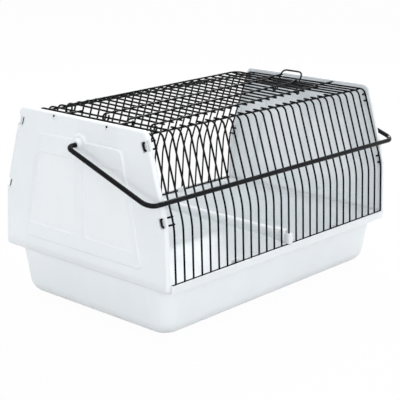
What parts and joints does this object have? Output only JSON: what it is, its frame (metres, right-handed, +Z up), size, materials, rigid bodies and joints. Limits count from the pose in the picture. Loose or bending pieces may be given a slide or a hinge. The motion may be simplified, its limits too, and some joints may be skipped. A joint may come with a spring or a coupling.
{
  "type": "bird travel carrier",
  "caption": "Small-bird travel carrier: white moulded tub and ends, black wire cage with a hinged latched roof door, swinging carrying bail and a cross perch",
  "frame": {"origin": "on the ground under the middle wire of the cage, 2.3 mm right of the middle of the tub", "axes": "X along the carrier from the hinge end of the roof door to its latch end, Y from front to back, Z up"},
  "size_m": [0.4206, 0.2454, 0.223],
  "materials": {
    "white_plastic": "satin moulded polystyrene, cool off-white",
    "coated_wire": "black baked coating on steel wire, satin",
    "coated_bail": "thick glossy black coating on steel rod",
    "perch_plastic": "matt light grey-white plastic"
  },
  "bodies": {
    "base": {"tub": "white_plastic", "tub_tongues": "white_plastic"},
    "cage": {"left_end_panel": "white_plastic", "right_end_panel": "white_plastic", "front_bars": "coated_wire", "back_bars": "coated_wire", "left_hoops": "coated_wire", "right_hoops": "coated_wire", "front_top_rail": "coated_wire", "back_top_rail": "coated_wire", "front_bottom_rail": "coated_wire", "back_bottom_rail": "coated_wire", "left_clips": "coated_wire", "right_clips": "coated_wire", "left_roof_prongs": "coated_wire", "right_roof_prongs": "coated_wire"},
    "door": {"door_bars": "coated_wire", "door_frame": "coated_wire", "door_stiffeners": "coated_wire"},
    "latch": {"door_latch": "coated_wire"},
    "bail": {"carrying_bail": "coated_bail"},
    "perch": {"perch_rod": "perch_plastic", "perch_front_cap": "perch_plastic", "perch_back_cap": "perch_plastic"}
  },
  "joints": [
    {"name": "cage_lift", "type": "slide", "parent": "base", "child": "cage", "axis": [0, 0, 1], "range_m": [0, 0.1]},
    {"name": "door_hinge", "type": "hinge", "parent": "cage", "child": "door", "pos_m": [-0.1524, 0, 0.2043], "axis": [0, -1, 0], "range_deg": [0, 140]},
    {"name": "latch_turn", "type": "hinge", "parent": "door", "child": "latch", "pos_m": [0.12303, -0.015, 0.2], "axis": [0, -1, 0], "range_deg": [0, 35]},
    {"name": "bail_swing", "type": "hinge", "parent": "cage", "child": "bail", "pos_m": [0, 0, 0.183], "axis": [-1, 0, 0], "range_deg": [0, 218.7]},
    {"name": "perch_slide", "type": "slide", "parent": "cage", "child": "perch", "axis": [0, 0, 1], "range_m": [0, 0.03]}
  ]
}
